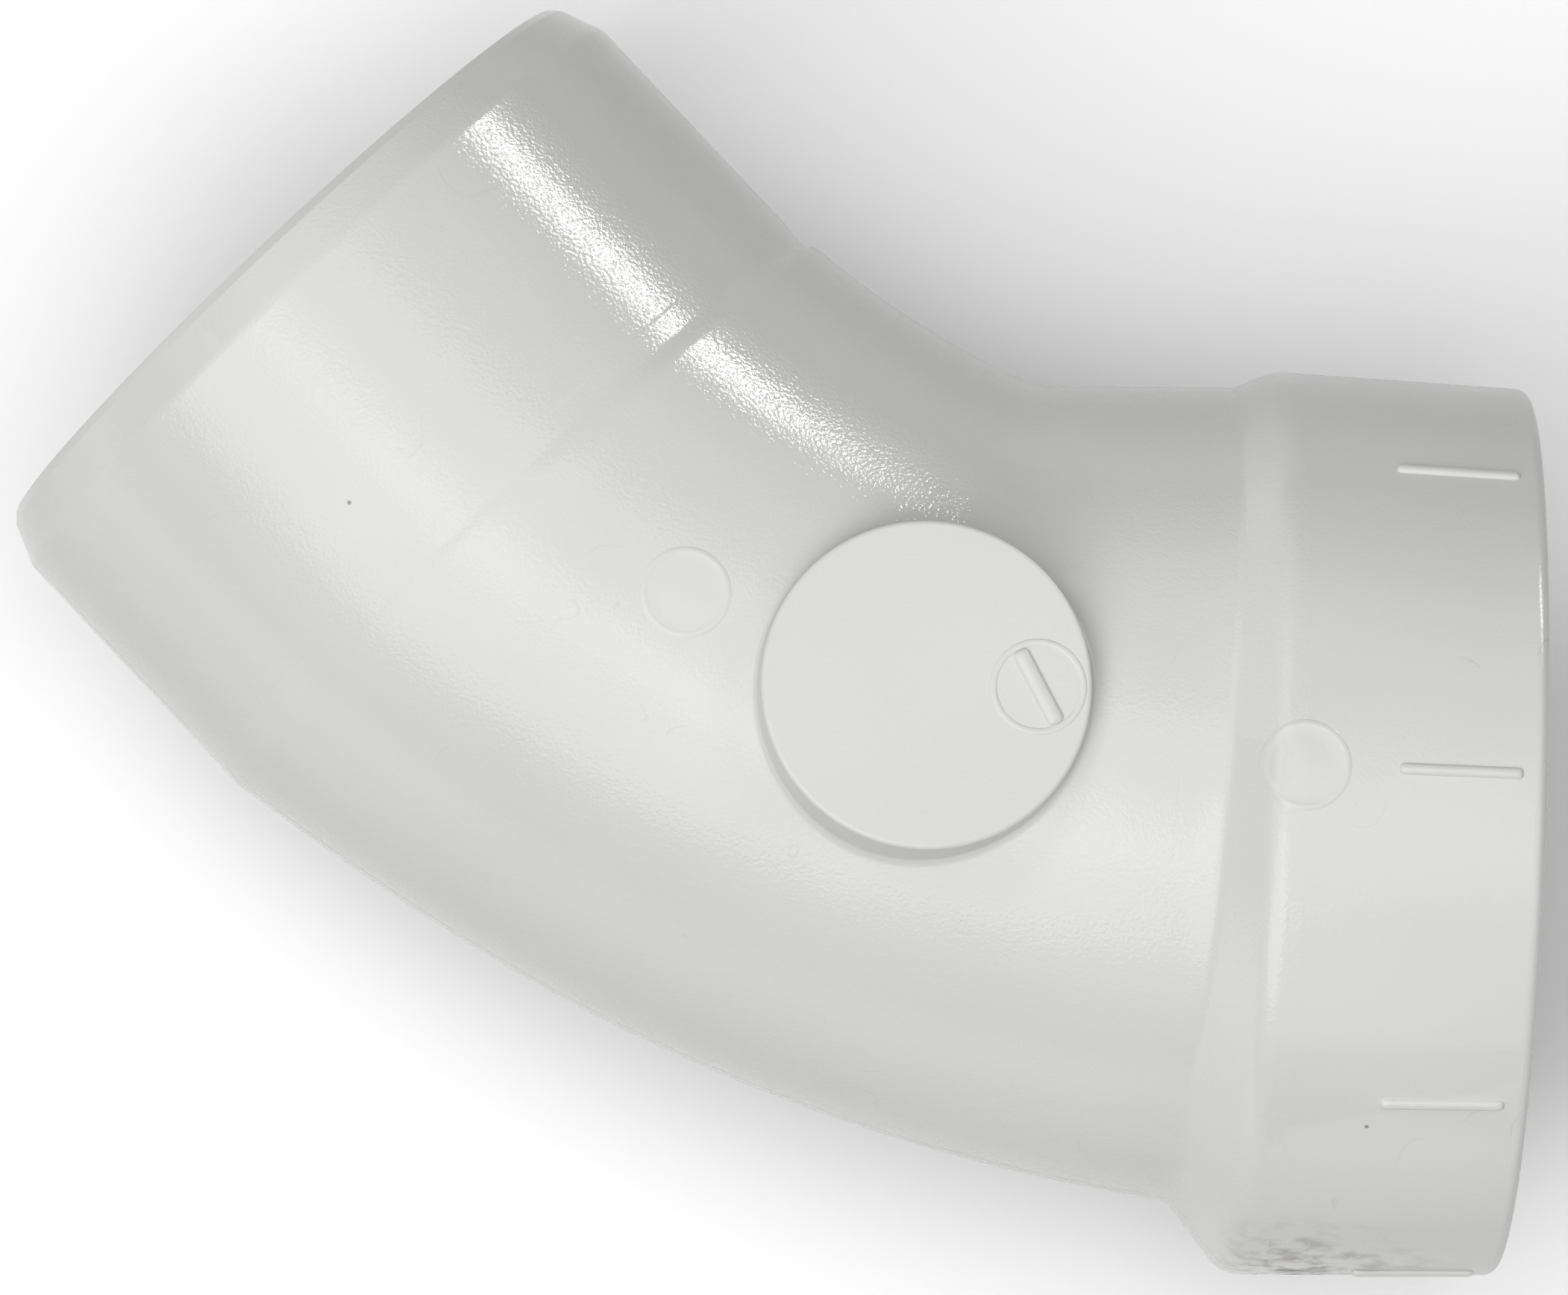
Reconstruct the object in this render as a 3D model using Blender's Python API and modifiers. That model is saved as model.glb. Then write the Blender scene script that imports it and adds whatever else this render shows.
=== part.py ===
"""White PVC 45 degree street elbow, lying on its side.

One rigid moulding: a plain spigot end, a swept bend and a wider socket hub.
+X runs out of the hub's mouth, +Y points to the throat side of the bend, and +Z
up to the side that carries the medallion. Dimensions are measured from where the
two axes cross; the finished parts are then moved to put the origin at the centre
of the hub's mouth, where the pipe that carries the elbow goes in.
"""
import math

import bmesh
import bpy
from mathutils import Matrix, Vector

MM = 0.001

# Overall layout (mm)
BEND_ANGLE = 45.0          # between the spigot and hub axes
SPIGOT_R = 24.13           # 1.900 in pipe size
SPIGOT_END = 46.1          # axes' crossing to the spigot's end face
SPIGOT_ROOT = 26.4         # groove between the spigot and the bend
SPIGOT_PLAIN = 24.6        # the bend starts to curve here
HEEL_STEP = 0.4            # how far the heel sits inside the spigot at the root
CHAMFER_LENGTH = 3.1
CHAMFER_DEPTH = 1.0
CHAMFER_FOOT = 0.3         # the chamfer eases in from this far behind its start
CHAMFER_EASE = (0.7, 0.25)  # a point on that ease: beyond the start, below the pipe size
TIP_ROUND = 0.5            # outer edge of the end face
ROOT_BEVEL = 0.3
BORE_BEVEL = 0.4
BORE_R = 20.45             # waterway
BORE_BEND_R = 64.0         # centreline radius of the waterway

# Bend skin, as two curves in the bend plane (mm)
THROAT_CENTRE = (35.2, 78.5)
THROAT_CORNER = (13.8, 26.47)
THROAT_HUB = (26.1, 26.8)
CORNER_ROUND = 5.0
HEEL_R = 114.4
HEEL_HUB = (23.7, -23.45)
HEEL_SPLITS = (0.53, 0.80)  # where the sections fan round the throat corner

# Hub (mm)
HUB_R = 27.82              # at the shoulder
HUB_R_MOUTH = 27.32        # the collar tapers, as moulded
HUB_MOUTH = 44.15
SHOULDER_HEEL_X = 27.2
SHOULDER_THROAT_X = 28.3
SHOULDER_HEEL_ROUND = 2.2
SHOULDER_THROAT_ROUND = 4.0
COLLAR_START = 29.4
SOCKET_FLOOR = 26.7
SOCKET_R_FLOOR = 24.03
SOCKET_R_MOUTH = 24.28
RIM_ROUND = 0.6
MOUTH_CHAMFER = 0.8

# Raised marks (mm)
RIB_COUNT = 8
RIB_START = 35.0
RIB_END = 42.6
RIB_WIDTH = 0.55
RIB_HEIGHT = 0.45
RIB_ROUND = 0.12
MEDALLION_CENTRE = (6.2, 4.3)
MEDALLION_R = 10.1
MEDALLION_TOP = 26.0
MEDALLION_EDGE = 0.35
MEDALLION_FOOT = 16.0      # cut off where the pad meets the bend
INSERT_CENTRE = (13.0, 4.4)
INSERT_R = 2.85
INSERT_LINE = 0.4
INSERT_HEIGHT = 0.2
INSERT_BEVEL = 0.1
BAR_LENGTH = 5.3
BAR_WIDTH = 0.75
BAR_ANGLE = -60.8
BAR_ROUND = 0.08
EJECTOR_R = 2.6
EJECTOR_HEIGHT = 0.15
EJECTOR_HUB_X = 29.3
EJECTOR_BEND = (-8.5, 9.75)
EJECTOR_STOCK = (15.0, 30.0)  # heights of the disc before it is cut to the skin
EJECTOR_EDGE = 0.1
EJECTOR_REACH = 5.0        # half the length of the skin that cuts the hub's mark

# Clearances between neighbouring solids (mm)
GAP = 0.3
MARK_GAP = 0.08

SEGMENTS = 48              # facets round every tube
PVC_WHITE = (0.83, 0.84, 0.85, 1.0)

TURN = math.radians(BEND_ANGLE)
SPIGOT_DIR = Vector((-math.cos(TURN), math.sin(TURN), 0.0))
SPIGOT_SIDE = Vector((math.sin(TURN), math.cos(TURN), 0.0))
UP = Vector((0.0, 0.0, 1.0))


def clear_scene():
    for obj in list(bpy.data.objects):
        bpy.data.objects.remove(obj, do_unlink=True)
    for mesh in list(bpy.data.meshes):
        bpy.data.meshes.remove(mesh)


def new_collection(name):
    collection = bpy.data.collections.new(name)
    bpy.context.scene.collection.children.link(collection)
    return collection


def plastic(name, roughness):
    material = bpy.data.materials.new(name)
    material.use_nodes = True
    shader = material.node_tree.nodes["Principled BSDF"]
    shader.inputs["Base Color"].default_value = PVC_WHITE
    shader.inputs["Roughness"].default_value = roughness
    return material


def add_object(name, mesh, collection, roughness=0.4):
    obj = bpy.data.objects.new(name, mesh)
    collection.objects.link(obj)
    obj.data.materials.append(plastic(name, roughness))
    return obj


def add_cutter(name, mesh):
    obj = bpy.data.objects.new(name, mesh)
    cutters.objects.link(obj)
    obj.hide_render = True
    obj.display_type = "WIRE"
    return obj


def finish_mesh(name, bm):
    bmesh.ops.recalc_face_normals(bm, faces=bm.faces)
    mesh = bpy.data.meshes.new(name)
    bm.to_mesh(mesh)
    bm.free()
    mesh.shade_smooth()
    mesh.set_sharp_from_angle(angle=math.radians(30))
    return mesh


def flat(point):
    return Vector((point[0], point[1], 0.0))


def arc_points(centre, radius, start, end, count):
    """Points along an arc; angles in degrees."""
    points = []
    for i in range(count):
        angle = math.radians(start + (end - start) * i / (count - 1))
        points.append(flat(centre) + radius * Vector((math.cos(angle), math.sin(angle), 0.0)))
    return points


def angle_about(centre, point):
    offset = flat(point) - flat(centre)
    return math.degrees(math.atan2(offset.y, offset.x))


def arc_through(start, end, radius):
    """Centre of the shallow arc that bulges away from the throat."""
    chord = end - start
    middle = (start + end) / 2
    inward = Vector((-chord.y, chord.x, 0.0)).normalized()
    return middle + inward * math.sqrt(radius ** 2 - (chord.length / 2) ** 2)


def rounded_corner(before, corner, after, radius, count):
    """Arc that rounds the corner between two straight runs."""
    back = (before - corner).normalized()
    ahead = (after - corner).normalized()
    half = back.angle(ahead) / 2
    centre = corner + (back + ahead).normalized() * (radius / math.sin(half))
    first = corner + back * (radius / math.tan(half)) - centre
    last = corner + ahead * (radius / math.tan(half)) - centre
    return [centre + first.slerp(last, i / (count - 1)).normalized() * radius for i in range(count)]


def resample(points, count):
    """The same path with evenly spaced points."""
    lengths = [0.0]
    for a, b in zip(points, points[1:]):
        lengths.append(lengths[-1] + (b - a).length)
    result = []
    index = 0
    for i in range(count):
        target = lengths[-1] * i / (count - 1)
        while index < len(points) - 2 and lengths[index + 1] < target:
            index += 1
        span = lengths[index + 1] - lengths[index]
        result.append(points[index].lerp(points[index + 1], (target - lengths[index]) / span))
    return result


def bend_sections():
    """Matching throat and heel points from the spigot's root to the collar."""
    root = SPIGOT_ROOT - GAP / 2
    throat_side = SPIGOT_SIDE * SPIGOT_R
    heel_side = SPIGOT_SIDE * (HEEL_STEP - SPIGOT_R)
    straight = [(SPIGOT_DIR * along + throat_side, SPIGOT_DIR * along + heel_side)
                for along in (root, (root + SPIGOT_PLAIN) / 2)]
    throat_start = SPIGOT_DIR * SPIGOT_PLAIN + throat_side
    heel_start = SPIGOT_DIR * SPIGOT_PLAIN + heel_side
    heel_end = flat(HEEL_HUB)
    heel_centre = arc_through(heel_start, heel_end, HEEL_R)
    heel_angles = (angle_about(heel_centre, heel_start), angle_about(heel_centre, heel_end))

    def heel_part(low, high, count):
        start, end = heel_angles
        span = end - start
        return arc_points(heel_centre, HEEL_R, start + span * low, start + span * high, count)

    corner = flat(THROAT_CORNER)
    throat_angle = angle_about(THROAT_CENTRE, THROAT_CORNER)
    tangent = Vector((math.sin(math.radians(throat_angle)), -math.cos(math.radians(throat_angle)), 0.0))
    corner_arc = rounded_corner(corner + tangent, corner, flat(THROAT_HUB), CORNER_ROUND, 7)
    curve_end = angle_about(THROAT_CENTRE, corner_arc[0])
    throat_radius = (corner - flat(THROAT_CENTRE)).length
    curve = [throat_start] + arc_points(
        THROAT_CENTRE, throat_radius, angle_about(THROAT_CENTRE, throat_start), curve_end, 24)[1:]
    low, high = HEEL_SPLITS
    spans = [
        (resample(curve, 11), heel_part(0.0, low, 11)),
        (resample(corner_arc, 7), heel_part(low, high, 7)),
        (resample([corner_arc[-1], flat(THROAT_HUB)], 5), heel_part(high, 1.0, 5)),
        (shoulder_path(THROAT_HUB, (SHOULDER_THROAT_X, HUB_R), SHOULDER_THROAT_ROUND),
         shoulder_path(HEEL_HUB, (SHOULDER_HEEL_X, -HUB_R), SHOULDER_HEEL_ROUND)),
    ]
    pairs = list(straight)
    for throat, heel in spans:
        matched = list(zip(throat, heel))
        pairs.extend(matched if len(pairs) == len(straight) else matched[1:])
    return pairs


def shoulder_path(root, edge, rounding):
    """Cone of the hub's shoulder, with a rounded edge, on one side of the bend."""
    end = Vector((COLLAR_START - GAP, edge[1], 0.0))
    root_point = flat(root)
    edge_arc = rounded_corner(root_point, flat(edge), end, rounding, 6)
    return resample([root_point] + edge_arc + [end], 9)


def ring(throat, heel, swell=0.0):
    """Circle standing across the bend plane on the throat-heel diameter."""
    centre = (throat + heel) / 2
    radius = (throat - heel).length / 2 + swell
    across = (throat - heel).normalized()
    points = []
    for i in range(SEGMENTS):
        angle = 2 * math.pi * i / SEGMENTS
        points.append(centre + radius * (math.cos(angle) * across + math.sin(angle) * UP))
    return points


def hub_ring(x, radius):
    return ring(Vector((x, radius, 0.0)), Vector((x, -radius, 0.0)))


def bore_rings():
    """Waterway from the socket floor back to the spigot's root."""
    reach = BORE_BEND_R * math.tan(TURN / 2)
    centre = Vector((reach, BORE_BEND_R, 0.0))
    rings = [hub_ring(SOCKET_FLOOR, BORE_R)]
    count = 15
    for i in range(count):
        turn = TURN * i / (count - 1)
        inward = Vector((math.sin(turn), math.cos(turn), 0.0))
        middle = centre - inward * BORE_BEND_R
        rings.append(ring(middle + inward * BORE_R, middle - inward * BORE_R))
    rings.pop(1)
    root = SPIGOT_DIR * (SPIGOT_ROOT - GAP / 2)
    rings[-1] = ring(root + SPIGOT_SIDE * BORE_R, root - SPIGOT_SIDE * BORE_R)
    return rings


def loft(name, rings, closed):
    """Skin over rings of equal point count, joined into a tube wall or capped."""
    bm = bmesh.new()
    loops = [[bm.verts.new(point * MM) for point in points] for points in rings]
    pairs = list(zip(loops, loops[1:]))
    if closed:
        pairs.append((loops[-1], loops[0]))
    else:
        bm.faces.new(loops[0])
        bm.faces.new(loops[-1])
    for a, b in pairs:
        for i in range(SEGMENTS):
            j = (i + 1) % SEGMENTS
            bm.faces.new((a[i], a[j], b[j], b[i]))
    return finish_mesh(name, bm)


def profile_mesh(name, profile, closed):
    """Section of a turned shape: radius along X, height along Z."""
    bm = bmesh.new()
    verts = [bm.verts.new((radius * MM, 0.0, height * MM)) for radius, height in profile]
    for a, b in zip(verts, verts[1:]):
        bm.edges.new((a, b))
    if closed:
        bm.edges.new((verts[-1], verts[0]))
    mesh = bpy.data.meshes.new(name)
    bm.to_mesh(mesh)
    bm.free()
    return mesh


def turn(obj, steps=SEGMENTS):
    screw = obj.modifiers.new("turn", "SCREW")
    screw.angle = 2 * math.pi
    screw.steps = steps
    screw.render_steps = steps
    screw.use_merge_vertices = True
    screw.merge_threshold = 0.00001
    screw.use_smooth_shade = True
    return obj


def axis_frame(direction, origin=(0.0, 0.0, 0.0)):
    """Placement whose local Z runs along an axis in the bend plane, local X across it."""
    z_axis = direction.normalized()
    y_axis = UP
    x_axis = y_axis.cross(z_axis)
    matrix = Matrix((x_axis, y_axis, z_axis)).transposed().to_4x4()
    matrix.translation = Vector(origin) * MM
    return matrix


def boolean(obj, cutter, operation):
    modifier = obj.modifiers.new(operation.lower(), "BOOLEAN")
    modifier.operation = operation
    modifier.solver = "EXACT"
    modifier.object = cutter


def section_round(centre, radius, start, end, count=5):
    """Rounded edge in a turned profile, as (radius, height) pairs."""
    return [(p.x, p.y) for p in arc_points(centre, radius, start, end, count)]


def build_bend():
    rings = [ring(throat, heel) for throat, heel in bend_sections()]
    rings.append(hub_ring(COLLAR_START - GAP, SOCKET_R_FLOOR))
    rings.append(hub_ring(SOCKET_FLOOR, SOCKET_R_FLOOR))
    rings.extend(bore_rings())
    return add_object("bend_shell", loft("bend_shell", rings, True), parts)


def bend_cutter(name, swell):
    rings = [ring(throat, heel, swell) for throat, heel in bend_sections()]
    return add_cutter(name, loft(name, rings, False))


def spigot_profile():
    """Outer side from the end face down to the root, then back up the bore."""
    end_r = SPIGOT_R - CHAMFER_DEPTH
    tip = section_round((end_r - TIP_ROUND, SPIGOT_END - TIP_ROUND), TIP_ROUND, 90, 20)
    chamfer = SPIGOT_END - CHAMFER_LENGTH
    beyond, below = CHAMFER_EASE
    root = SPIGOT_ROOT + GAP / 2
    return (
        tip
        + [(SPIGOT_R - below, chamfer + beyond), (SPIGOT_R, chamfer - CHAMFER_FOOT)]
        + [(SPIGOT_R, root + ROOT_BEVEL), (SPIGOT_R - ROOT_BEVEL, root)]
        + [(BORE_R, root), (BORE_R, SPIGOT_END - BORE_BEVEL), (BORE_R + BORE_BEVEL, SPIGOT_END)]
    )


def build_spigot():
    mesh = profile_mesh("spigot_end", spigot_profile(), True)
    obj = turn(add_object("spigot_end", mesh, parts))
    obj.matrix_world = axis_frame(SPIGOT_DIR)
    return obj


def build_hub():
    rim = section_round((HUB_R_MOUTH - RIM_ROUND, HUB_MOUTH - RIM_ROUND), RIM_ROUND, 90, 0)
    profile = (
        rim
        + [(HUB_R, COLLAR_START), (SOCKET_R_FLOOR, COLLAR_START)]
        + [(SOCKET_R_MOUTH, HUB_MOUTH - MOUTH_CHAMFER), (SOCKET_R_MOUTH + MOUTH_CHAMFER, HUB_MOUTH)]
    )
    mesh = profile_mesh("hub_socket", profile, True)
    obj = turn(add_object("hub_socket", mesh, parts))
    obj.matrix_world = axis_frame(Vector((1.0, 0.0, 0.0)))
    return obj


def collar_radius(x):
    """Outside radius of the tapered collar."""
    along = (x - COLLAR_START) / (HUB_MOUTH - RIM_ROUND - COLLAR_START)
    return HUB_R + (HUB_R_MOUTH - HUB_R) * along


def build_ribs():
    """Ribs spaced evenly round the collar, each a bar with rounded edges."""
    bm = bmesh.new()
    made = bmesh.ops.create_cube(bm, size=1.0)["verts"]
    size = Vector((RIB_END - RIB_START, RIB_WIDTH, RIB_HEIGHT))
    bmesh.ops.scale(bm, vec=size * MM, verts=made)
    mesh = finish_mesh("collar_rib", bm)
    middle = (RIB_START + RIB_END) / 2
    reach = Vector((middle, 0.0, collar_radius(middle) + MARK_GAP + RIB_HEIGHT / 2))
    fall = collar_radius(RIB_START) - collar_radius(RIB_END)
    lean = Matrix.Rotation(math.atan2(fall, RIB_END - RIB_START), 4, "Y")
    for i in range(RIB_COUNT):
        obj = add_object("collar_rib_%d" % (i + 1), mesh.copy(), parts)
        spin = Matrix.Rotation(2 * math.pi * i / RIB_COUNT, 4, "X")
        obj.matrix_world = spin @ Matrix.Translation(reach * MM) @ lean
        bevel = obj.modifiers.new("round", "BEVEL")
        bevel.width = RIB_ROUND * MM
        bevel.segments = 2


def disc_profile(radius, bottom, top, edge):
    rounding = section_round((radius - edge, top - edge), edge, 90, 0)
    return [(0.0, top)] + rounding + [(radius, bottom), (0.0, bottom)]


def build_medallion():
    profile = disc_profile(MEDALLION_R, MEDALLION_FOOT, MEDALLION_TOP, MEDALLION_EDGE)
    mesh = profile_mesh("marking_medallion", profile, False)
    obj = turn(add_object("marking_medallion", mesh, parts))
    obj.location = flat(MEDALLION_CENTRE) * MM
    boolean(obj, bend_cutter("cut_medallion_seat", GAP), "DIFFERENCE")
    return obj


def build_insert_ring():
    low = MEDALLION_TOP + MARK_GAP
    high = low + INSERT_HEIGHT
    outer = INSERT_R
    inner = INSERT_R - INSERT_LINE
    profile = [(outer - INSERT_BEVEL, high), (outer, high - INSERT_BEVEL), (outer, low), (inner, low)]
    profile += [(inner, high - INSERT_BEVEL), (inner + INSERT_BEVEL, high)]
    obj = turn(add_object("mould_insert_ring", profile_mesh("mould_insert_ring", profile, True), parts), 48)
    obj.location = flat(INSERT_CENTRE) * MM
    return obj


def build_insert_bar():
    low = MEDALLION_TOP + MARK_GAP
    length = min(BAR_LENGTH, 2 * (INSERT_R - INSERT_LINE) - 2 * MARK_GAP)
    bm = bmesh.new()
    made = bmesh.ops.create_cube(bm, size=1.0)["verts"]
    bmesh.ops.scale(bm, vec=Vector((length, BAR_WIDTH, INSERT_HEIGHT)) * MM, verts=made)
    obj = add_object("mould_insert_bar", finish_mesh("mould_insert_bar", bm), parts)
    place = Vector((INSERT_CENTRE[0], INSERT_CENTRE[1], low + INSERT_HEIGHT / 2)) * MM
    obj.matrix_world = Matrix.Translation(place) @ Matrix.Rotation(math.radians(BAR_ANGLE), 4, "Z")
    bevel = obj.modifiers.new("round", "BEVEL")
    bevel.width = BAR_ROUND * MM
    bevel.segments = 2
    return obj


def hub_cutter(name, radius):
    rings = [hub_ring(x, radius) for x in (EJECTOR_HUB_X - EJECTOR_REACH, EJECTOR_HUB_X + EJECTOR_REACH)]
    return add_cutter(name, loft(name, rings, False))


def build_ejector_mark(name, centre, inner, outer):
    """Thin disc that follows the skin between two cutters."""
    bottom, top = EJECTOR_STOCK
    mesh = profile_mesh(name, disc_profile(EJECTOR_R, bottom, top, EJECTOR_EDGE), False)
    obj = turn(add_object(name, mesh, parts), 40)
    obj.location = flat(centre) * MM
    boolean(obj, outer, "INTERSECT")
    boolean(obj, inner, "DIFFERENCE")
    return obj


def build_ejector_marks():
    low = MARK_GAP
    high = MARK_GAP + EJECTOR_HEIGHT
    build_ejector_mark("ejector_mark_bend", EJECTOR_BEND,
                       bend_cutter("cut_bend_mark_under", low), bend_cutter("cut_bend_mark_over", high))
    build_ejector_mark("ejector_mark_hub", (EJECTOR_HUB_X, 0.0),
                       hub_cutter("cut_hub_mark_under", HUB_R + low),
                       hub_cutter("cut_hub_mark_over", HUB_R + high))


def place():
    """Put the origin at the centre of the hub's mouth."""
    shift = Matrix.Translation((-HUB_MOUTH * MM, 0.0, 0.0))
    for obj in list(parts.objects) + list(cutters.objects):
        obj.matrix_world = shift @ obj.matrix_world


clear_scene()
parts = new_collection("pvc_street_elbow_45")
cutters = new_collection("cutters")
build_bend()
build_spigot()
build_hub()
build_ribs()
build_medallion()
build_insert_ring()
build_insert_bar()
build_ejector_marks()
bpy.context.view_layer.update()
place()
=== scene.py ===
"""Looks of the white PVC 45 degree street elbow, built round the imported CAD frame."""
import math

import bmesh
import bpy
from mathutils import Matrix, Vector
from mathutils.bvhtree import BVHTree


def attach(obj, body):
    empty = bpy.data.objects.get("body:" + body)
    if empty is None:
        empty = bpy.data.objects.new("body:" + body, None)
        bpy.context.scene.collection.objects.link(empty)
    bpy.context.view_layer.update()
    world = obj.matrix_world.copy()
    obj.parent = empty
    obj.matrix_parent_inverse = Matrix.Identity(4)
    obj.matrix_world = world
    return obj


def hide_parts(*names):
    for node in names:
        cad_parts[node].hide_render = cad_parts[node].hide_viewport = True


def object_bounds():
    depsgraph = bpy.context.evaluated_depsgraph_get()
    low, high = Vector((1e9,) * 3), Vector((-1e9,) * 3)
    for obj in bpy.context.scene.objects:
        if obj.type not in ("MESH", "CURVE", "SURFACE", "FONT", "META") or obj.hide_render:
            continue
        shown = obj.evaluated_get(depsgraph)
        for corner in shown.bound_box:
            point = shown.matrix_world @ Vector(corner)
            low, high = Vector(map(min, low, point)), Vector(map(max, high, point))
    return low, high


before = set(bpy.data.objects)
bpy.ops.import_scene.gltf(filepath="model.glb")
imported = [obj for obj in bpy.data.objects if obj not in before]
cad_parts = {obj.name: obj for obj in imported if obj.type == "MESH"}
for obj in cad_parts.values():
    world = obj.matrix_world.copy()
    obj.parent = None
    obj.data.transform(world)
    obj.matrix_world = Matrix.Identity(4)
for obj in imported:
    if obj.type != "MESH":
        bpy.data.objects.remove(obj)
cad_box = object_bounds()

MM = 0.001
UP = Vector((0.0, 0.0, 1.0))

# Sizes that the fine surface shares with the CAD, in millimetres. Lengths along the
# axes are measured from their crossing, which lies HUB_MOUTH behind the origin.
HUB_MOUTH = 44.15
TURN = math.radians(45.0)
SPIGOT_R = 24.13
SPIGOT_END = 46.1
SPIGOT_ROOT = 26.4
SPIGOT_PLAIN = 24.6
HEEL_STEP = 0.4
NECK_DIP = 0.13            # the short neck between spigot and bend dips this much
NECK_LOW = 0.5             # its lowest line lies this far before the bend
EDGE_EASE = 0.03
HEEL_EASE = 15             # rings over which the heel's step is smoothed out
CHAMFER_LENGTH = 3.1
CHAMFER_DEPTH = 1.0
BORE_R = 20.45
BORE_BEND_R = 64.0
THROAT_CENTRE = (35.2, 78.5)
THROAT_CORNER = (13.8, 26.47)
THROAT_HUB = (26.1, 26.8)
CORNER_ROUND = 5.0
HEEL_R = 114.4
HEEL_HUB = (23.7, -23.45)
HEEL_SPLITS = (0.53, 0.80)
HUB_R = 27.82
HUB_R_MOUTH = 27.32
SHOULDER_HEEL_X = 27.2
SHOULDER_THROAT_X = 28.3
SHOULDER_HEEL_ROUND = 2.2
SHOULDER_THROAT_ROUND = 4.0
SHOULDER_ROOT_ROUND = 1.6
COLLAR_START = 29.4
SOCKET_FLOOR = 26.7
SOCKET_R_FLOOR = 24.03
SOCKET_R_MOUTH = 24.28
RIM_ROUND = 0.8
MOUTH_CHAMFER = 0.8
RIB_COUNT = 8
RIB_START = 35.0
RIB_END = 42.6
RIB_WIDTH = 0.72
RIB_HEIGHT = 0.34
MEDALLION_CENTRE = (6.2, 4.3)
MEDALLION_R = 10.1
MEDALLION_TOP = 26.0
INSERT_CENTRE = (13.0, 4.4)
INSERT_R = 2.75
BAR_LENGTH = 5.1
BAR_WIDTH = 1.05
BAR_ANGLE = math.radians(-60.8)
EJECTOR_R = 2.6
EJECTOR_HUB_X = 29.3
EJECTOR_BEND = (-8.5, 9.75)

INSERT_LINE = 0.27         # half the width of the insert ring
BAR_HEIGHT = 0.36
RIB_END_ROUND = 0.35
MEDALLION_EDGE = 0.28      # rounding of the pad's rim
MEDALLION_FILLET = 0.45    # fillet where its wall meets the bend
MARK_ROOT = 0.4            # how deep a mark's underside is sunk
SEAM_LIFT = 0.03
SEAM_HALF_WIDTH = 0.22
STOP_BEVEL = 0.3
CAST_HEIGHT = 60.0         # rays that find the skin start from here

ROUND = 192                # segments round the tubes
MARK_ROUND = 96            # segments round the small marks
MEDALLION_SEGMENTS = 160
BORE_STEPS = 40
BAR_STATIONS = 24          # sections along a rib or the insert bar
ARCH = [math.pi * j / 12 for j in range(13)]   # angles over a rounded ridge
SHARP_ANGLE = 40.0         # edges sharper than this stay crisp, in degrees
SPIGOT_DIR = Vector((-math.cos(TURN), math.sin(TURN), 0.0))
SPIGOT_SIDE = Vector((math.sin(TURN), math.cos(TURN), 0.0))
HUB_DIR = Vector((1.0, 0.0, 0.0))
HUB_SIDE = Vector((0.0, 1.0, 0.0))
CROSSING = Vector((-HUB_MOUTH, 0.0, 0.0))


# ---------------------------------------------------------------- curves and rings

def flat(point):
    return Vector((point[0], point[1], 0.0))


def arc_points(centre, radius, start, end, count):
    angles = [start + (end - start) * i / (count - 1) for i in range(count)]
    return [flat(centre) + radius * Vector((math.cos(a), math.sin(a), 0.0)) for a in angles]


def angle_about(centre, point):
    offset = flat(point) - flat(centre)
    return math.atan2(offset.y, offset.x)


def arc_through(start, end, radius):
    chord = end - start
    inward = Vector((-chord.y, chord.x, 0.0)).normalized()
    return (start + end) / 2 + inward * math.sqrt(radius ** 2 - (chord.length / 2) ** 2)


def rounded_corner(before, corner, after, radius, count):
    back = (before - corner).normalized()
    ahead = (after - corner).normalized()
    half = back.angle(ahead) / 2
    centre = corner + (back + ahead).normalized() * (radius / math.sin(half))
    first = corner + back * (radius / math.tan(half)) - centre
    last = corner + ahead * (radius / math.tan(half)) - centre
    turns = [i / (count - 1) for i in range(count)]
    return [centre + first.slerp(last, t).normalized() * radius for t in turns]


def resample(points, count):
    lengths = [0.0]
    for a, b in zip(points, points[1:]):
        lengths.append(lengths[-1] + (b - a).length)
    result = []
    index = 0
    for i in range(count):
        target = lengths[-1] * i / (count - 1)
        while index < len(points) - 2 and lengths[index + 1] < target:
            index += 1
        span = lengths[index + 1] - lengths[index]
        result.append(points[index].lerp(points[index + 1], (target - lengths[index]) / span))
    return result


def ring(throat, heel):
    """Circle standing across the bend plane on the throat-heel diameter."""
    centre = (throat + heel) / 2
    radius = (throat - heel).length / 2
    across = (throat - heel).normalized()
    turns = [2 * math.pi * i / ROUND for i in range(ROUND)]
    return [centre + radius * (math.cos(a) * across + math.sin(a) * UP) for a in turns]


def axis_ring(direction, side, along, radius):
    centre = direction * along
    return ring(centre + side * radius, centre - side * radius)


def turned(direction, side, profile):
    """Rings of a turned shape from (radius, distance along the axis) pairs."""
    return [axis_ring(direction, side, along, radius) for radius, along in profile]


def round_profile(points, radii, count=8):
    """Closed (radius, along) section with each corner rounded."""
    result = []
    size = len(points)
    for i in range(size):
        before = flat(points[i - 1])
        corner = flat(points[i])
        after = flat(points[(i + 1) % size])
        if radii[i] > 0.0:
            result += [(p.x, p.y) for p in rounded_corner(before, corner, after, radii[i], count)]
        else:
            result.append(tuple(points[i]))
    return result


# ---------------------------------------------------------------- meshes and pieces

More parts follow.
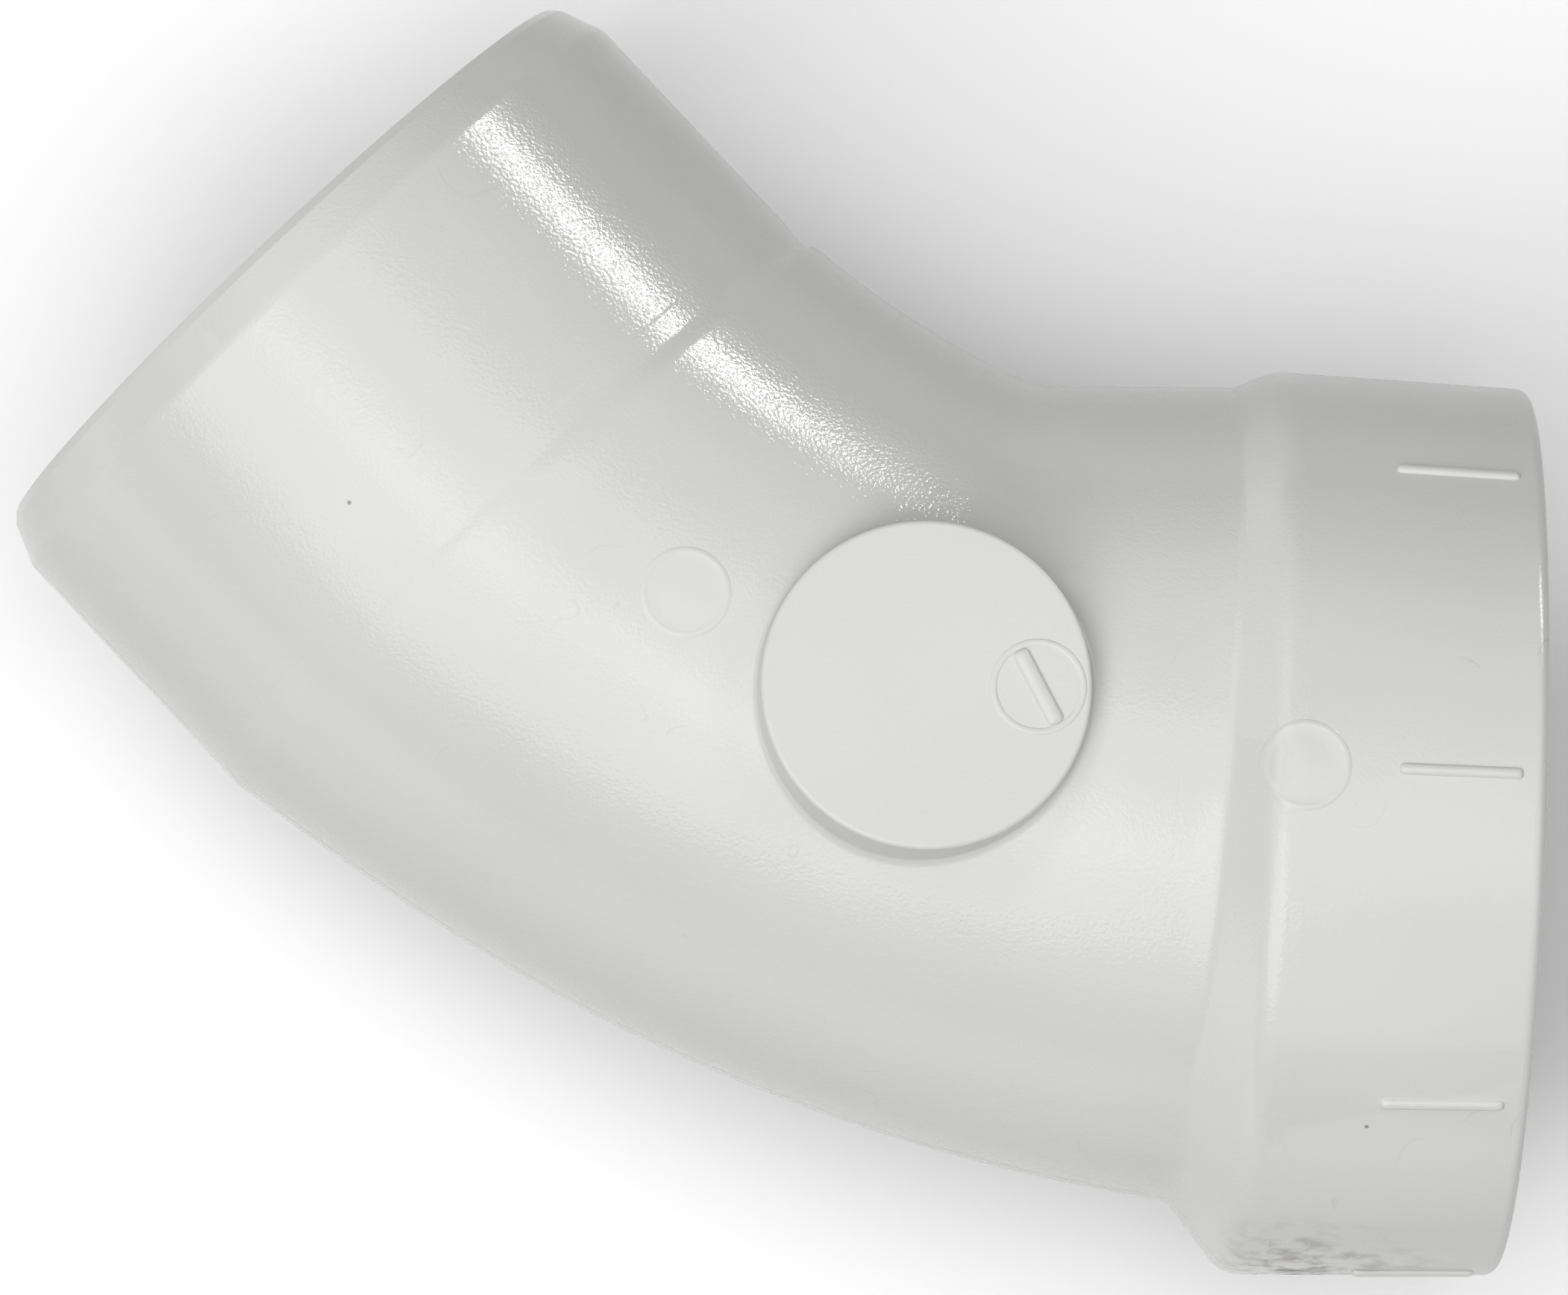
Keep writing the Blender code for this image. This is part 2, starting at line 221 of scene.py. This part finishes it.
def skin(rings, closed=True):
    """Faces over rings of points in mm from the axes' crossing; a wall loop or a capped rod."""
    bm = bmesh.new()
    loops = [[bm.verts.new((point + CROSSING) * MM) for point in points] for points in rings]
    pairs = list(zip(loops, loops[1:]))
    if closed:
        pairs.append((loops[-1], loops[0]))
    else:
        bm.faces.new(loops[0])
        bm.faces.new(loops[-1])
    for a, b in pairs:
        size = len(a)
        for i in range(size):
            j = (i + 1) % size
            bm.faces.new((a[i], a[j], b[j], b[i]))
    bmesh.ops.recalc_face_normals(bm, faces=bm.faces)
    return bm


def make_piece(name, bm, slot, material, *nodes):
    mesh = bpy.data.meshes.new(name)
    bm.to_mesh(mesh)
    bm.free()
    mesh.shade_smooth()
    mesh.set_sharp_from_angle(angle=math.radians(SHARP_ANGLE))
    mesh.materials.append(material)
    obj = bpy.data.objects.new(name, mesh)
    bpy.context.scene.collection.objects.link(obj)
    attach(obj, "root")
    if nodes:
        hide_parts(*nodes)
    return obj


# ---------------------------------------------------------------- tubes

def bend_curves():
    """Throat and heel points of matching sections, spigot root to collar."""
    throat_side = SPIGOT_SIDE * SPIGOT_R
    heel_side = SPIGOT_SIDE * (HEEL_STEP - SPIGOT_R)
    throat_start = SPIGOT_DIR * SPIGOT_PLAIN + throat_side
    heel_start = SPIGOT_DIR * SPIGOT_PLAIN + heel_side
    heel_centre = arc_through(heel_start, flat(HEEL_HUB), HEEL_R)
    first = angle_about(heel_centre, heel_start)
    last = angle_about(heel_centre, flat(HEEL_HUB))

    def heel_part(low, high, count):
        sweep = last - first
        return arc_points(heel_centre, HEEL_R, first + sweep * low, first + sweep * high, count)

    corner = flat(THROAT_CORNER)
    swing = angle_about(THROAT_CENTRE, THROAT_CORNER)
    tangent = Vector((math.sin(swing), -math.cos(swing), 0.0))
    corner_arc = rounded_corner(corner + tangent, corner, flat(THROAT_HUB), CORNER_ROUND, 25)
    throat_radius = (corner - flat(THROAT_CENTRE)).length
    curve = [throat_start] + arc_points(
        THROAT_CENTRE, throat_radius, angle_about(THROAT_CENTRE, throat_start),
        angle_about(THROAT_CENTRE, corner_arc[0]), 40)[1:]
    low, high = HEEL_SPLITS
    root = SPIGOT_DIR * SPIGOT_ROOT
    dip = SPIGOT_DIR * (SPIGOT_PLAIN + NECK_LOW)
    ease = SPIGOT_SIDE * EDGE_EASE
    throat = [root + throat_side - ease]
    heel = [root - SPIGOT_SIDE * SPIGOT_R + ease]
    throat_neck = [throat[0], dip + throat_side - SPIGOT_SIDE * NECK_DIP, throat_start]
    heel_neck = [heel[0], dip - SPIGOT_SIDE * SPIGOT_R, heel_start - SPIGOT_SIDE * HEEL_STEP]
    spans = [
        (resample(throat_neck, 11), resample(heel_neck, 11)),
        (resample(curve, 37), heel_part(0.0, low, 37)),
        (resample(corner_arc, 19), heel_part(low, high, 19)),
        (resample([corner_arc[-1], flat(THROAT_HUB)], 13), heel_part(high, 1.0, 13)),
        (shoulder(THROAT_HUB, corner_arc[-1], (SHOULDER_THROAT_X, HUB_R), SHOULDER_THROAT_ROUND),
         shoulder(HEEL_HUB, heel_part(0.9, 0.95, 2)[0], (SHOULDER_HEEL_X, -HUB_R),
                  SHOULDER_HEEL_ROUND)),
    ]
    # The shoulder's concave root starts a little before the straight stretch ends
    straight = spans[3]
    spans[3] = (straight[0][:-2], straight[1][:-2])
    for throat_span, heel_span in spans:
        throat += throat_span[1:]
        heel += heel_span[1:]
    first_bend = len(spans[0][0])
    for i in range(HEEL_EASE):
        heel[first_bend + i] -= SPIGOT_SIDE * HEEL_STEP * (1.0 - (i + 1) / HEEL_EASE) ** 2
    return throat, heel


def shoulder(root, before, edge, rounding):
    """Cone of the hub's shoulder with its concave root and rounded edge."""
    end = Vector((COLLAR_START, edge[1], 0.0))
    root_arc = rounded_corner(before, flat(root), flat(edge), SHOULDER_ROOT_ROUND, 12)
    edge_arc = rounded_corner(flat(root), flat(edge), end, rounding, 12)
    return resample(root_arc + edge_arc + [end], 40)


def bore_rings():
    reach = BORE_BEND_R * math.tan(TURN / 2)
    centre = Vector((reach, BORE_BEND_R, 0.0))
    rings = [axis_ring(HUB_DIR, HUB_SIDE, SOCKET_FLOOR, BORE_R)]
    for i in range(1, BORE_STEPS):
        turn = TURN * i / (BORE_STEPS - 1)
        inward = Vector((math.sin(turn), math.cos(turn), 0.0))
        middle = centre - inward * BORE_BEND_R
        rings.append(ring(middle + inward * BORE_R, middle - inward * BORE_R))
    rings[-1] = axis_ring(SPIGOT_DIR, SPIGOT_SIDE, SPIGOT_ROOT, BORE_R)
    return rings


def build_bend(material):
    throat, heel = bend_curves()
    rings = [ring(a, b) for a, b in zip(throat, heel)]
    stop = [(SOCKET_R_FLOOR, COLLAR_START), (SOCKET_R_FLOOR, SOCKET_FLOOR + 0.5),
            (SOCKET_R_FLOOR - 0.15, SOCKET_FLOOR + 0.15), (SOCKET_R_FLOOR - 0.5, SOCKET_FLOOR),
            (BORE_R + STOP_BEVEL, SOCKET_FLOOR)]
    rings += turned(HUB_DIR, HUB_SIDE, stop)
    bore = bore_rings()
    bore[0] = axis_ring(HUB_DIR, HUB_SIDE, SOCKET_FLOOR - STOP_BEVEL, BORE_R)
    rings += bore
    return make_piece("bend_skin", skin(rings), "bend_shell", material, "bend_shell")


def build_spigot(material):
    root = SPIGOT_ROOT
    chamfer_foot = (SPIGOT_R, SPIGOT_END - CHAMFER_LENGTH)
    chamfer_top = (SPIGOT_R - CHAMFER_DEPTH, SPIGOT_END - 0.55)
    points = [
        (SPIGOT_R - EDGE_EASE, root), (SPIGOT_R, root + 0.2), chamfer_foot, chamfer_top,
        (SPIGOT_R - CHAMFER_DEPTH - 0.5, SPIGOT_END), (BORE_R, SPIGOT_END), (BORE_R, root),
    ]
    section = round_profile(points, [0.0, 0.08, 1.6, 0.3, 0.3, 0.35, 0.0])
    return make_piece("spigot_skin", skin(turned(SPIGOT_DIR, SPIGOT_SIDE, section)),
                      "spigot_end", material, "spigot_end")


def collar_radius(x):
    along = (x - COLLAR_START) / (HUB_MOUTH - RIM_ROUND - COLLAR_START)
    return HUB_R + (HUB_R_MOUTH - HUB_R) * along


def build_hub(material):
    points = [
        (HUB_R, COLLAR_START), (HUB_R_MOUTH, HUB_MOUTH),
        (SOCKET_R_MOUTH + MOUTH_CHAMFER, HUB_MOUTH), (SOCKET_R_MOUTH, HUB_MOUTH - 1.2),
        (SOCKET_R_FLOOR, COLLAR_START),
    ]
    section = round_profile(points, [0.0, RIM_ROUND, 0.15, 0.6, 0.0])
    return make_piece("collar_skin", skin(turned(HUB_DIR, HUB_SIDE, section)),
                      "hub_socket", material, "hub_socket")


# ---------------------------------------------------------------- raised marks

def build_rib(index, material):
    """Ridge with a rounded top and ends, its foot sunk in the collar."""
    spin = Matrix.Rotation(2 * math.pi * index / RIB_COUNT, 3, "X")
    rings = []
    for i in range(BAR_STATIONS):
        t = -math.cos(math.pi * i / (BAR_STATIONS - 1))
        x = (RIB_START + RIB_END) / 2 + t * (RIB_END - RIB_START) / 2
        end_gap = min(x - RIB_START, RIB_END - x)
        swell = math.sqrt(max(0.0, 1.0 - max(0.0, 1.0 - end_gap / RIB_END_ROUND) ** 2))
        half = RIB_WIDTH / 2 * (0.35 + 0.65 * swell)
        rise = RIB_HEIGHT * swell
        section = []
        for a in ARCH:
            top = collar_radius(x) - 0.03 + rise * math.sin(a) ** 0.9
            section.append(Vector((x, half * math.cos(a), top)))
        section.append(Vector((x, -half, collar_radius(x) - 0.3)))
        section.append(Vector((x, half, collar_radius(x) - 0.3)))
        rings.append([spin @ p for p in section])
    name = "rib_%d" % (index + 1)
    cad_node = "collar_rib_%d" % (index + 1)
    return make_piece(name, skin(rings, False), "collar_ribs", material, cad_node)


def surface_finder(*objects):
    """Height of the outer skin above a point of the bend plane, in mm."""
    trees = []
    for obj in objects:
        points = [v.co for v in obj.data.vertices]
        trees.append(BVHTree.FromPolygons(points, [p.vertices for p in obj.data.polygons]))

    def height(x, y):
        start = (Vector((x, y, CAST_HEIGHT)) + CROSSING) * MM
        hits = [tree.ray_cast(start, -UP)[0] for tree in trees]
        return max(hit.z for hit in hits if hit is not None) / MM

    return height


def circle(centre, radius, count, level):
    """Ring of points round a centre, each as high as level(x, y) says."""
    points = []
    for i in range(count):
        a = 2 * math.pi * i / count
        x = centre[0] + radius * math.cos(a)
        y = centre[1] + radius * math.sin(a)
        points.append(Vector((x, y, level(x, y))))
    return points


def build_ejector_mark(name, node, centre, height, material):
    """Faint round ridge draped on the skin, with its underside buried."""
    face = 0.02
    profile = [(0.05, face), (0.8, face), (1.6, face), (EJECTOR_R - 0.3, face),
               (EJECTOR_R - 0.2, 0.04), (EJECTOR_R - 0.1, 0.065), (EJECTOR_R, 0.07),
               (EJECTOR_R + 0.12, 0.045), (EJECTOR_R + 0.26, -0.02)]
    rings = [circle(centre, radius, MARK_ROUND, lambda x, y, z=rise: height(x, y) + z)
             for radius, rise in profile]
    rings.append([p - UP * MARK_ROOT for p in rings[-1]])
    return make_piece(name, skin(rings, False), "ejector_marks", material, node)


def build_medallion(height, material):
    """Flat-topped pad whose wall runs down into the bend with a small fillet."""
    def loop(radius, level):
        return circle(MEDALLION_CENTRE, radius, MEDALLION_SEGMENTS, level)

    inner = MEDALLION_R - MEDALLION_EDGE
    rings = [loop(r, lambda x, y: MEDALLION_TOP) for r in (0.2, 3.0, 6.0, 8.5, inner - 0.02)]
    for i in range(6):
        a = math.pi / 2 * (1 - i / 5)
        level = MEDALLION_TOP - MEDALLION_EDGE + MEDALLION_EDGE * math.sin(a)
        rings.append(loop(inner + MEDALLION_EDGE * math.cos(a), lambda x, y, z=level: z))
    wall = MEDALLION_R + 0.05
    for i in range(6):
        a = math.pi / 2 * i / 5
        lift = MEDALLION_FILLET * (1 - math.sin(a))
        rings.append(loop(wall + MEDALLION_FILLET * (1 - math.cos(a)),
                          lambda x, y, z=lift: height(x, y) + z + 0.01))
    rings.append(loop(wall + MEDALLION_FILLET, lambda x, y: height(x, y) - MARK_ROOT))
    return make_piece("medallion_pad", skin(rings, False), "marking_medallion", material,
                      "marking_medallion")


def build_insert_ring(material):
    profile = [(-INSERT_LINE, -0.1), (-0.22, 0.005), (-0.12, 0.055), (0.0, 0.075),
               (0.12, 0.055), (0.22, 0.005), (INSERT_LINE, -0.1)]
    rings = [circle(INSERT_CENTRE, INSERT_R + across, MARK_ROUND,
                    lambda x, y, z=rise: MEDALLION_TOP + z) for across, rise in profile]
    return make_piece("insert_ring", skin(rings), "mould_insert", material, "mould_insert_ring")


def build_insert_bar(material):
    """Raised bar with a rounded back across the insert ring."""
    spin = Matrix.Rotation(BAR_ANGLE, 3, "Z")
    place = Vector((INSERT_CENTRE[0], INSERT_CENTRE[1], MEDALLION_TOP))
    rings = []
    for i in range(BAR_STATIONS):
        t = -math.cos(math.pi * i / (BAR_STATIONS - 1))
        swell = math.sqrt(max(0.0, 1.0 - max(0.0, (abs(t) - 0.86) / 0.14) ** 2))
        half = BAR_WIDTH / 2 * (0.4 + 0.6 * swell)
        x = t * BAR_LENGTH / 2
        section = []
        for a in ARCH:
            top = BAR_HEIGHT * swell * math.sin(a) ** 0.8 - 0.02
            section.append(Vector((x, half * math.cos(a), top)))
        section += [Vector((x, -half, -0.15)), Vector((x, half, -0.15))]
        rings.append([place + spin @ p for p in section])
    return make_piece("insert_bar", skin(rings, False), "mould_insert", material, "mould_insert_bar")


def build_seam(name, path, outward, material):
    """Fine flash line left where the mould halves meet."""
    rings = []
    for i, point in enumerate(path):
        fade = min(1.0, i / 3.0, (len(path) - 1 - i) / 3.0)
        out = outward(i)
        section = [point - UP * 0.3 - out * 0.15]
        for j in range(9):
            across = -1.0 + j / 4.0
            lift = SEAM_LIFT * fade * (1.0 - across ** 2) - 0.012
            section.append(point + UP * (SEAM_HALF_WIDTH * across) + out * lift)
        section.append(point + UP * 0.3 - out * 0.15)
        rings.append(section)
    return make_piece(name, skin(rings, False), "bend_shell", material)


def build_seams(material):
    throat, heel = bend_curves()
    throat, heel = throat[1:], heel[1:]
    for name, near, far in (("seam_throat", throat, heel), ("seam_heel", heel, throat)):
        build_seam(name, near, lambda i, n=near, f=far: (n[i] - f[i]).normalized(), material)
    for name, sign in (("seam_collar_throat", 1.0), ("seam_collar_heel", -1.0)):
        xs = [COLLAR_START + (RIB_START - COLLAR_START) * i / 12 for i in range(13)]
        path = [Vector((x, sign * collar_radius(x), 0.0)) for x in xs]
        build_seam(name, path, lambda i, s=sign: Vector((0.0, s, 0.0)), material)
    for name, sign in (("seam_spigot_throat", 1.0), ("seam_spigot_heel", -1.0)):
        span = SPIGOT_END - CHAMFER_LENGTH - SPIGOT_ROOT - 1.0
        edge = SPIGOT_SIDE * sign * SPIGOT_R
        path = [SPIGOT_DIR * (SPIGOT_ROOT + 0.3 + span * i / 16) + edge for i in range(17)]
        build_seam(name, path, lambda i, s=sign: SPIGOT_SIDE * s, material)


# ---------------------------------------------------------------- materials

def node(tree, kind, **inputs):
    made = tree.nodes.new(kind)
    for key, value in inputs.items():
        made.inputs[key.replace("_", " ")].default_value = value
    return made


def ramp(tree, source, low, high, low_value=0.0, high_value=1.0):
    made = tree.nodes.new("ShaderNodeMapRange")
    made.inputs["From Min"].default_value = low
    made.inputs["From Max"].default_value = high
    made.inputs["To Min"].default_value = low_value
    made.inputs["To Max"].default_value = high_value
    tree.links.new(source, made.inputs["Value"])
    return made.outputs["Result"]


def math_node(tree, operation, a, b):
    made = tree.nodes.new("ShaderNodeMath")
    made.operation = operation
    for socket, value in ((made.inputs[0], a), (made.inputs[1], b)):
        if isinstance(value, (int, float)):
            socket.default_value = value
        else:
            tree.links.new(value, socket)
    return made.outputs[0]


def noise(tree, coords, scale, detail):
    made = node(tree, "ShaderNodeTexNoise", Scale=scale, Detail=detail)
    tree.links.new(coords, made.inputs["Vector"])
    return made.outputs["Fac"]


def mix_colour(tree, factor, a, b):
    made = tree.nodes.new("ShaderNodeMix")
    made.data_type = "RGBA"
    tree.links.new(factor, made.inputs["Factor"])
    for socket, value in ((made.inputs["A"], a), (made.inputs["B"], b)):
        if isinstance(value, tuple):
            socket.default_value = value
        else:
            tree.links.new(value, socket)
    return made.outputs["Result"]


def specks(tree, coords, scale, size, share):
    """Mask of rare small dots: a few cells of a Voronoi pattern get one."""
    cells = node(tree, "ShaderNodeTexVoronoi", Scale=scale)
    tree.links.new(coords, cells.inputs["Vector"])
    split = tree.nodes.new("ShaderNodeSeparateColor")
    tree.links.new(cells.outputs["Color"], split.inputs["Color"])
    chosen = math_node(tree, "LESS_THAN", split.outputs["Red"], share)
    dot = ramp(tree, cells.outputs["Distance"], size, size * 0.5)
    return math_node(tree, "MULTIPLY", chosen, dot)


def hairlines(tree, coords, scale):
    """Mask of thin short wandering lines, the hairs and fine scratches on a handled fitting."""
    level = noise(tree, coords, scale, 1.0)
    away = math_node(tree, "ABSOLUTE", math_node(tree, "SUBTRACT", level, 0.5), 0.0)
    line = ramp(tree, away, 0.004, 0.001)
    some = ramp(tree, noise(tree, coords, scale * 0.9 + 31.0, 0.0), 0.66, 0.70)
    return math_node(tree, "MULTIPLY", line, some)


PVC_IOR = 1.53
PVC = (0.612, 0.615, 0.602, 1.0)
PVC_SHADE = (0.584, 0.584, 0.571, 1.0)
DIRT = (0.20, 0.185, 0.165, 1.0)
BUMP_DEPTH = 0.00005       # metres, for the grain and the orange peel


def pvc(name, roughness, grain, wear=1.0):
    """Moulded white PVC: faint flow clouding, fine grain, specks, faint hairlines and grime."""
    material = bpy.data.materials.new(name)
    material.use_nodes = True
    tree = material.node_tree
    shader = tree.nodes["Principled BSDF"]
    shader.inputs["IOR"].default_value = PVC_IOR
    place = tree.nodes.new("ShaderNodeTexCoord").outputs["Object"]

    cloud = noise(tree, place, 45.0, 3.0)
    colour = mix_colour(tree, ramp(tree, cloud, 0.35, 0.75), PVC, PVC_SHADE)
    dots = specks(tree, place, 300.0, 0.055, 0.05 * wear)
    colour = mix_colour(tree, math_node(tree, "MULTIPLY", dots, 0.85), colour, DIRT)
    hair = hairlines(tree, place, 170.0)
    colour = mix_colour(tree, math_node(tree, "MULTIPLY", hair, 0.10 * wear), colour, DIRT)

    # Grime rubbed on the collar's lower shoulder
    split = tree.nodes.new("ShaderNodeSeparateXYZ")
    tree.links.new(place, split.inputs[0])
    along = ramp(tree, split.outputs["X"], -0.0185, -0.0165)
    along_end = ramp(tree, split.outputs["X"], -0.002, -0.013)
    low_side = ramp(tree, split.outputs["Y"], -0.0256, -0.0279)
    patch = math_node(tree, "MULTIPLY", math_node(tree, "MULTIPLY", along, along_end), low_side)
    blotch = ramp(tree, noise(tree, place, 700.0, 6.0), 0.44, 0.66)
    grime = math_node(tree, "MULTIPLY", math_node(tree, "MULTIPLY", patch, blotch), 0.55 * wear)
    colour = mix_colour(tree, grime, colour, DIRT)
    tree.links.new(colour, shader.inputs["Base Color"])

    gloss_cloud = ramp(tree, noise(tree, place, 120.0, 4.0), 0.3, 0.7,
                       roughness - 0.04, roughness + 0.05)
    rough = math_node(tree, "ADD", gloss_cloud, math_node(tree, "MULTIPLY", grime, 0.4))
    tree.links.new(rough, shader.inputs["Roughness"])

    fine = noise(tree, place, 4300.0, 1.0)
    peel = noise(tree, place, 260.0, 1.0)
    grain_bump = node(tree, "ShaderNodeBump", Strength=grain, Distance=BUMP_DEPTH)
    tree.links.new(fine, grain_bump.inputs["Height"])
    peel_bump = node(tree, "ShaderNodeBump", Strength=0.2, Distance=BUMP_DEPTH)
    tree.links.new(peel, peel_bump.inputs["Height"])
    tree.links.new(grain_bump.outputs["Normal"], peel_bump.inputs["Normal"])
    tree.links.new(peel_bump.outputs["Normal"], shader.inputs["Normal"])
    return material


# ---------------------------------------------------------------- stage

# Name, azimuth round the view (0 right, 90 up), angle off it, distance, size, power.
# Each is three round lights, one inside another, so that its reflection has a soft edge.
SOFT_LIGHTS = (
    ("top", 0.0, 0.0, 1.0, 0.9, 5.0),
    ("low_left", 225.0, 32.0, 0.8, 0.7, 3.9),
    ("high_left", 135.0, 42.0, 0.8, 0.6, 1.4),
    ("right", 0.0, 42.0, 0.8, 0.6, 1.1),
)
SOFT_LAYERS = ((0.4, 1.0), (0.35, 0.72), (0.25, 0.45))   # share of power, share of size
CAMERA_PLACE = (-0.755, 9.763, 1861.0)   # mm right, up and back of the axes' crossing
LENS = 693.8
SENSOR = 36.0
FLOOR_DROP = 0.0002
FLOOR_HALF = 3.0
WORLD_LIGHT = 0.22


def view_axes():
    """Directions of the camera's right, up and back in the object's frame."""
    lean = Matrix.Rotation(math.radians(-7.74), 3, "X")
    swing = Matrix.Rotation(math.radians(3.556), 3, "Y")
    roll = Matrix.Rotation(math.radians(-1.665), 3, "Z")
    return (lean @ swing @ roll).transposed()


def build_camera():
    axes = view_axes()
    camera = bpy.data.cameras.new("camera")
    camera.sensor_width = SENSOR
    camera.lens = LENS
    camera.clip_end = 20.0
    obj = bpy.data.objects.new("camera", camera)
    bpy.context.scene.collection.objects.link(obj)
    place = axes @ Vector(CAMERA_PLACE) + CROSSING
    obj.matrix_world = Matrix.Translation(place * MM) @ axes.to_4x4()
    bpy.context.scene.camera = obj


def light_direction(right, up, back, azimuth, off):
    across = right * math.cos(math.radians(azimuth)) + up * math.sin(math.radians(azimuth))
    return back * math.cos(math.radians(off)) + across * math.sin(math.radians(off))


def area_light(name, direction, distance, size, power, target, size_y=None):
    light = bpy.data.lights.new(name, "AREA")
    light.shape = "RECTANGLE" if size_y else "DISK"
    light.size = size
    if size_y:
        light.size_y = size_y
    light.energy = power
    obj = bpy.data.objects.new(name, light)
    bpy.context.scene.collection.objects.link(obj)
    obj.location = target + direction.normalized() * distance
    obj.rotation_euler = direction.to_track_quat("Z", "Y").to_euler()
    return obj


def build_stage():
    low = cad_box[0][2]
    bm = bmesh.new()
    bmesh.ops.create_grid(bm, x_segments=8, y_segments=8, size=FLOOR_HALF)
    mesh = bpy.data.meshes.new("floor")
    bm.to_mesh(mesh)
    bm.free()
    floor = bpy.data.objects.new("floor", mesh)
    floor.location = (0.0, 0.0, low - FLOOR_DROP)
    bpy.context.scene.collection.objects.link(floor)
    material = bpy.data.materials.new("floor")
    material.use_nodes = True
    shader = material.node_tree.nodes["Principled BSDF"]
    shader.inputs["Base Color"].default_value = (1.0, 1.0, 1.0, 1.0)
    shader.inputs["Roughness"].default_value = 0.9
    shader.inputs["Specular IOR Level"].default_value = 0.1
    mesh.materials.append(material)
    floor.visible_diffuse = False      # its bounce would wash out the sides of the tubes

    world = bpy.data.worlds.new("world")
    bpy.context.scene.world = world
    world.use_nodes = True
    world.node_tree.nodes["Background"].inputs["Color"].default_value = (1.0, 1.0, 1.0, 1.0)
    world.node_tree.nodes["Background"].inputs["Strength"].default_value = WORLD_LIGHT

    right, up, back = view_axes().transposed()
    target = Vector((-0.045, 0.008, 0.0))
    for name, azimuth, off, distance, size, power in SOFT_LIGHTS:
        direction = light_direction(right, up, back, azimuth, off)
        for layer, (share, width) in enumerate(SOFT_LAYERS):
            area_light("%s_%d" % (name, layer), direction, distance, size * width,
                       power * share, target)
    direction = light_direction(right, up, back, 48.0, 74.0)
    strip = area_light("strip", direction, 0.8, 0.27, 1.4, target, 0.10)
    strip.visible_diffuse = False      # seen only in reflections
    bpy.context.scene.view_settings.view_transform = "Standard"


# ---------------------------------------------------------------- build

body_pvc = pvc("pvc_bend", 0.13, 0.5)
spigot_pvc = pvc("pvc_spigot", 0.13, 0.5)
hub_pvc = pvc("pvc_hub", 0.2, 0.3, 1.7)
mark_pvc = pvc("pvc_marks", 0.22, 0.2, 0.3)
pad_pvc = pvc("pvc_pad", 0.32, 0.25, 0.3)

bend = build_bend(body_pvc)
spigot = build_spigot(spigot_pvc)
hub = build_hub(hub_pvc)
for rib in range(RIB_COUNT):
    build_rib(rib, mark_pvc)
skin_height = surface_finder(bend, hub)
build_medallion(skin_height, pad_pvc)
build_insert_ring(pad_pvc)
build_insert_bar(pad_pvc)
build_ejector_mark("ejector_ring_bend", "ejector_mark_bend", EJECTOR_BEND, skin_height,
                   mark_pvc)
build_ejector_mark("ejector_ring_hub", "ejector_mark_hub", (EJECTOR_HUB_X, 0.0), skin_height,
                   mark_pvc)
build_seams(mark_pvc)
build_camera()
build_stage()
